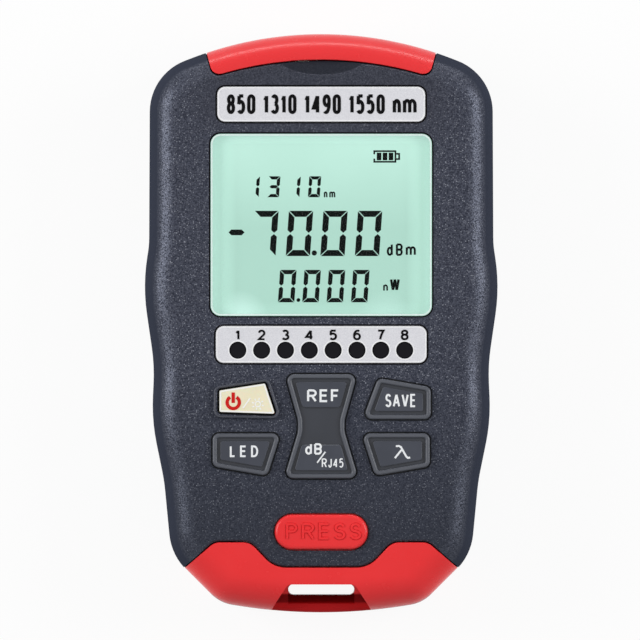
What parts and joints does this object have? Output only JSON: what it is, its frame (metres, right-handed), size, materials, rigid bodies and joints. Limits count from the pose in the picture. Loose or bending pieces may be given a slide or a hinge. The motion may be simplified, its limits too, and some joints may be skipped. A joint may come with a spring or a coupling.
{
  "type": "optical power meter",
  "caption": "Handheld fibre-optic power meter with display, indicator row, rubber keys, hinged port cover, latch button and a detachable cable-test remote with a lanyard slot.",
  "frame": {"origin": "centre of the back face, under the middle of the body's box", "axes": "+X to the right as the display is read, +Y towards the ports, +Z out of the display"},
  "size_m": [0.074, 0.1215, 0.03],
  "materials": {
    "housing": "fine spark texture, satin",
    "red_plastic": "satin moulded plastic",
    "printed_plate": "silver paint with dark print",
    "clear_window": "polished clear acrylic",
    "display_glass": "mint liquid-crystal panel",
    "light_guide": "frosted clear plastic",
    "white_plastic": "plain moulded plastic",
    "indicator_lens": "dark tinted lens",
    "key_rubber": "soft matte silicone",
    "key_cream": "pale translucent plastic",
    "silicone": "translucent silicone sheet",
    "board": "green solder mask",
    "chip": "black moulded package",
    "steel": "plated steel",
    "nickel_brass": "nickel-plated brass",
    "gold_wire": "gold-plated contact",
    "jack_black": "black moulded plastic",
    "lamp_clear": "clear epoxy dome",
    "cell_wrap": "printed film on a steel can"
  },
  "bodies": {
    "housing": {"front_cover": "housing", "rear_cover": "housing", "port_cover_pin": "steel", "name_plate": "printed_plate", "indicator_plate": "printed_plate", "indicator_leds": "indicator_lens", "display_window": "clear_window", "lcd_glass": "display_glass", "lcd_backlight": "light_guide", "lcd_frame": "white_plastic", "key_switches": "steel", "keypad_mat": "silicone", "latch_springs": "steel", "port_panel": "housing", "optical_adapter": "nickel_brass", "photodiode": "steel", "laser_adapter": "nickel_brass", "laser_module": "nickel_brass", "torch_led": "lamp_clear", "network_jack": "jack_black", "network_contacts": "gold_wire", "main_board": "board", "board_parts": "chip", "batteries": "cell_wrap", "battery_contacts": "steel", "case_screws": "steel"},
    "port_cover": {"port_cover": "red_plastic"},
    "power_key": {"power_key": "key_cream"},
    "save_key": {"save_key": "key_rubber"},
    "led_key": {"led_key": "key_rubber"},
    "lambda_key": {"lambda_key": "key_rubber"},
    "ref_db_key": {"ref_db_key": "key_rubber"},
    "press_button": {"press_button": "red_plastic"},
    "remote_unit": {"remote_front_shell": "red_plastic", "remote_back_shell": "red_plastic", "remote_jack": "jack_black", "remote_contacts": "gold_wire"},
    "battery_door": {"battery_door": "housing"}
  },
  "joints": [
    {"name": "port_cover_hinge", "type": "hinge", "parent": "housing", "child": "port_cover", "pos_m": [0, 0.0586, 0.0026], "axis": [-1, 0, 0], "range_deg": [0, 90]},
    {"name": "battery_door_tilt", "type": "hinge", "parent": "housing", "child": "battery_door", "pos_m": [0, 0.0299, 0.0001], "axis": [1, 0, 0], "range_deg": [0, 50]},
    {"name": "power_key_press", "type": "slide", "parent": "housing", "child": "power_key", "axis": [0, 0, -1], "range_m": [0, 0.0008], "stiffness_N_per_m": 1500},
    {"name": "save_key_press", "type": "slide", "parent": "housing", "child": "save_key", "axis": [0, 0, -1], "range_m": [0, 0.0008], "stiffness_N_per_m": 1500},
    {"name": "led_key_press", "type": "slide", "parent": "housing", "child": "led_key", "axis": [0, 0, -1], "range_m": [0, 0.0008], "stiffness_N_per_m": 1500},
    {"name": "lambda_key_press", "type": "slide", "parent": "housing", "child": "lambda_key", "axis": [0, 0, -1], "range_m": [0, 0.0008], "stiffness_N_per_m": 1500},
    {"name": "ref_db_key_rock", "type": "hinge", "parent": "housing", "child": "ref_db_key", "pos_m": [0, -0.0215, 0.027], "axis": [1, 0, 0], "range_deg": [-3, 3], "stiffness_Nm_per_rad": 0.4},
    {"name": "press_button_push", "type": "slide", "parent": "housing", "child": "press_button", "axis": [0, 0, -1], "range_m": [0, 0.001], "stiffness_N_per_m": 1500, "deforming": ["latch_springs"]},
    {"name": "remote_unit_pull", "type": "slide", "parent": "housing", "child": "remote_unit", "axis": [0, -1, 0], "range_m": [0, 0.04]}
  ]
}
